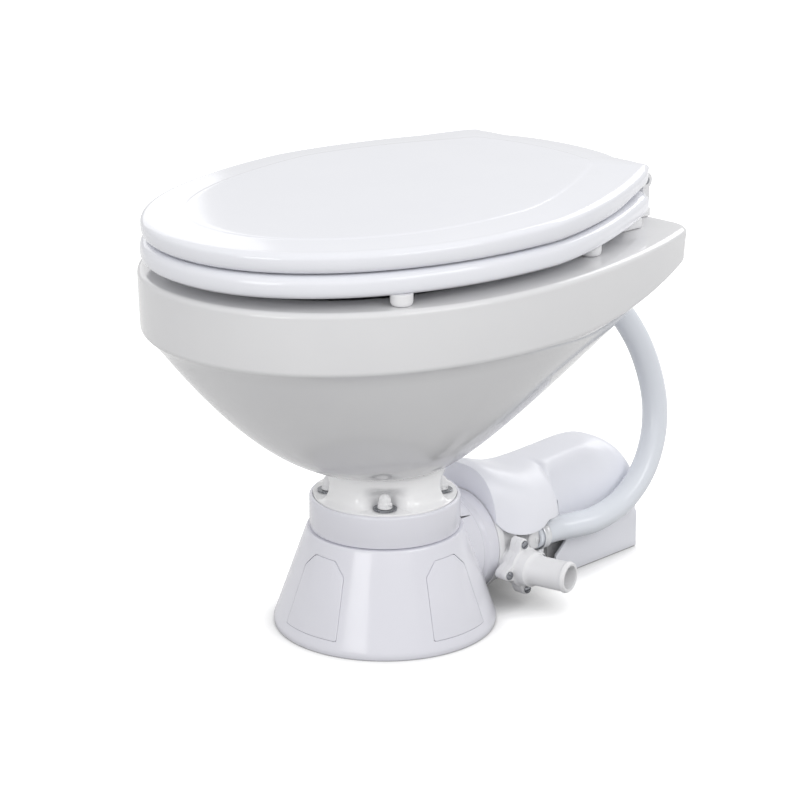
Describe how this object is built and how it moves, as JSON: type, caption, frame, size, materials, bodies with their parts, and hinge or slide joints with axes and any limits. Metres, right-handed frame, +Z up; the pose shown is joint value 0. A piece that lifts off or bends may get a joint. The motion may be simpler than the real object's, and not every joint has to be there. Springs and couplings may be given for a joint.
{
  "type": "electric marine toilet",
  "caption": "Electric marine toilet: glazed china bowl with hinged seat and lid on a round moulded base, with a macerator and rinse pump, motor and hose behind under a cover.",
  "frame": {"origin": "on the floor, at the centre of the pedestal's underside, on the pedestal's upright axis", "axes": "+Z up, +Y towards the pumps and the hinges, so the sitter faces -Y, and +X is the side of the discharge"},
  "size_m": [0.375, 0.5612, 0.399],
  "materials": {
    "china": "glazed",
    "base_plastic": "glossy",
    "seat_plastic": "glossy",
    "cover_plastic": "satin",
    "nylon": "moulded",
    "hose": "smooth",
    "pump_black": "moulded",
    "rubber": "moulded",
    "steel": "stainless",
    "motor_paint": "painted"
  },
  "bodies": {
    "root": {"pedestal_body": "base_plastic", "pedestal_collar": "base_plastic", "bolt_cover_front": "base_plastic", "bolt_cover_left": "base_plastic", "bolt_cover_right": "base_plastic", "bowl": "china", "bowl_gasket": "rubber", "bowl_bolt_1": "steel", "bowl_bolt_2": "steel", "bowl_bolt_3": "steel", "bowl_bolt_4": "steel", "bowl_washer_1": "steel", "bowl_washer_2": "steel", "bowl_washer_3": "steel", "bowl_washer_4": "steel", "bowl_nut_1": "nylon", "bowl_nut_2": "nylon", "bowl_nut_3": "nylon", "bowl_nut_4": "nylon", "bowl_inlet": "nylon", "hinge_block_left": "nylon", "hinge_block_right": "nylon", "hinge_pin_left": "steel", "hinge_pin_right": "steel", "hinge_bolt_left": "nylon", "hinge_bolt_right": "nylon", "hinge_nut_left": "nylon", "hinge_nut_right": "nylon", "macerator_housing": "nylon", "shaft_seal": "rubber", "joker_valve": "rubber", "discharge_elbow": "nylon", "discharge_screw_1": "steel", "discharge_screw_2": "steel", "discharge_screw_3": "steel", "discharge_screw_4": "steel", "rinse_pump_body": "pump_black", "rinse_outlet_elbow": "nylon", "seawater_inlet": "nylon", "motor_body": "motor_paint", "motor_end_cap": "motor_paint", "motor_cradle": "nylon", "rinse_hose": "hose", "hose_clamp_upper": "steel", "hose_clamp_lower": "steel", "pump_cover": "cover_plastic"},
    "seat": {"seat": "seat_plastic", "seat_bumper_front_left": "nylon", "seat_bumper_front_right": "nylon", "seat_bumper_rear_left": "nylon", "seat_bumper_rear_right": "nylon"},
    "lid": {"lid": "seat_plastic", "lid_bumper_left": "nylon", "lid_bumper_right": "nylon"},
    "rotor": {"motor_shaft": "steel", "macerator_blade": "steel", "macerator_impeller": "nylon", "rinse_impeller": "rubber"}
  },
  "joints": [
    {"name": "seat_hinge", "type": "hinge", "parent": "root", "child": "seat", "pos_m": [0, 0.242, 0.382], "axis": [-1, 0, 0], "range_deg": [0, 95]},
    {"name": "lid_hinge", "type": "hinge", "parent": "seat", "child": "lid", "pos_m": [0, 0.242, 0.382], "axis": [-1, 0, 0], "range_deg": [0, 95]},
    {"name": "rotor_spin", "type": "hinge", "parent": "root", "child": "rotor", "pos_m": [0, 0.11, 0.0505], "axis": [0, 1, 0], "continuous": true}
  ]
}
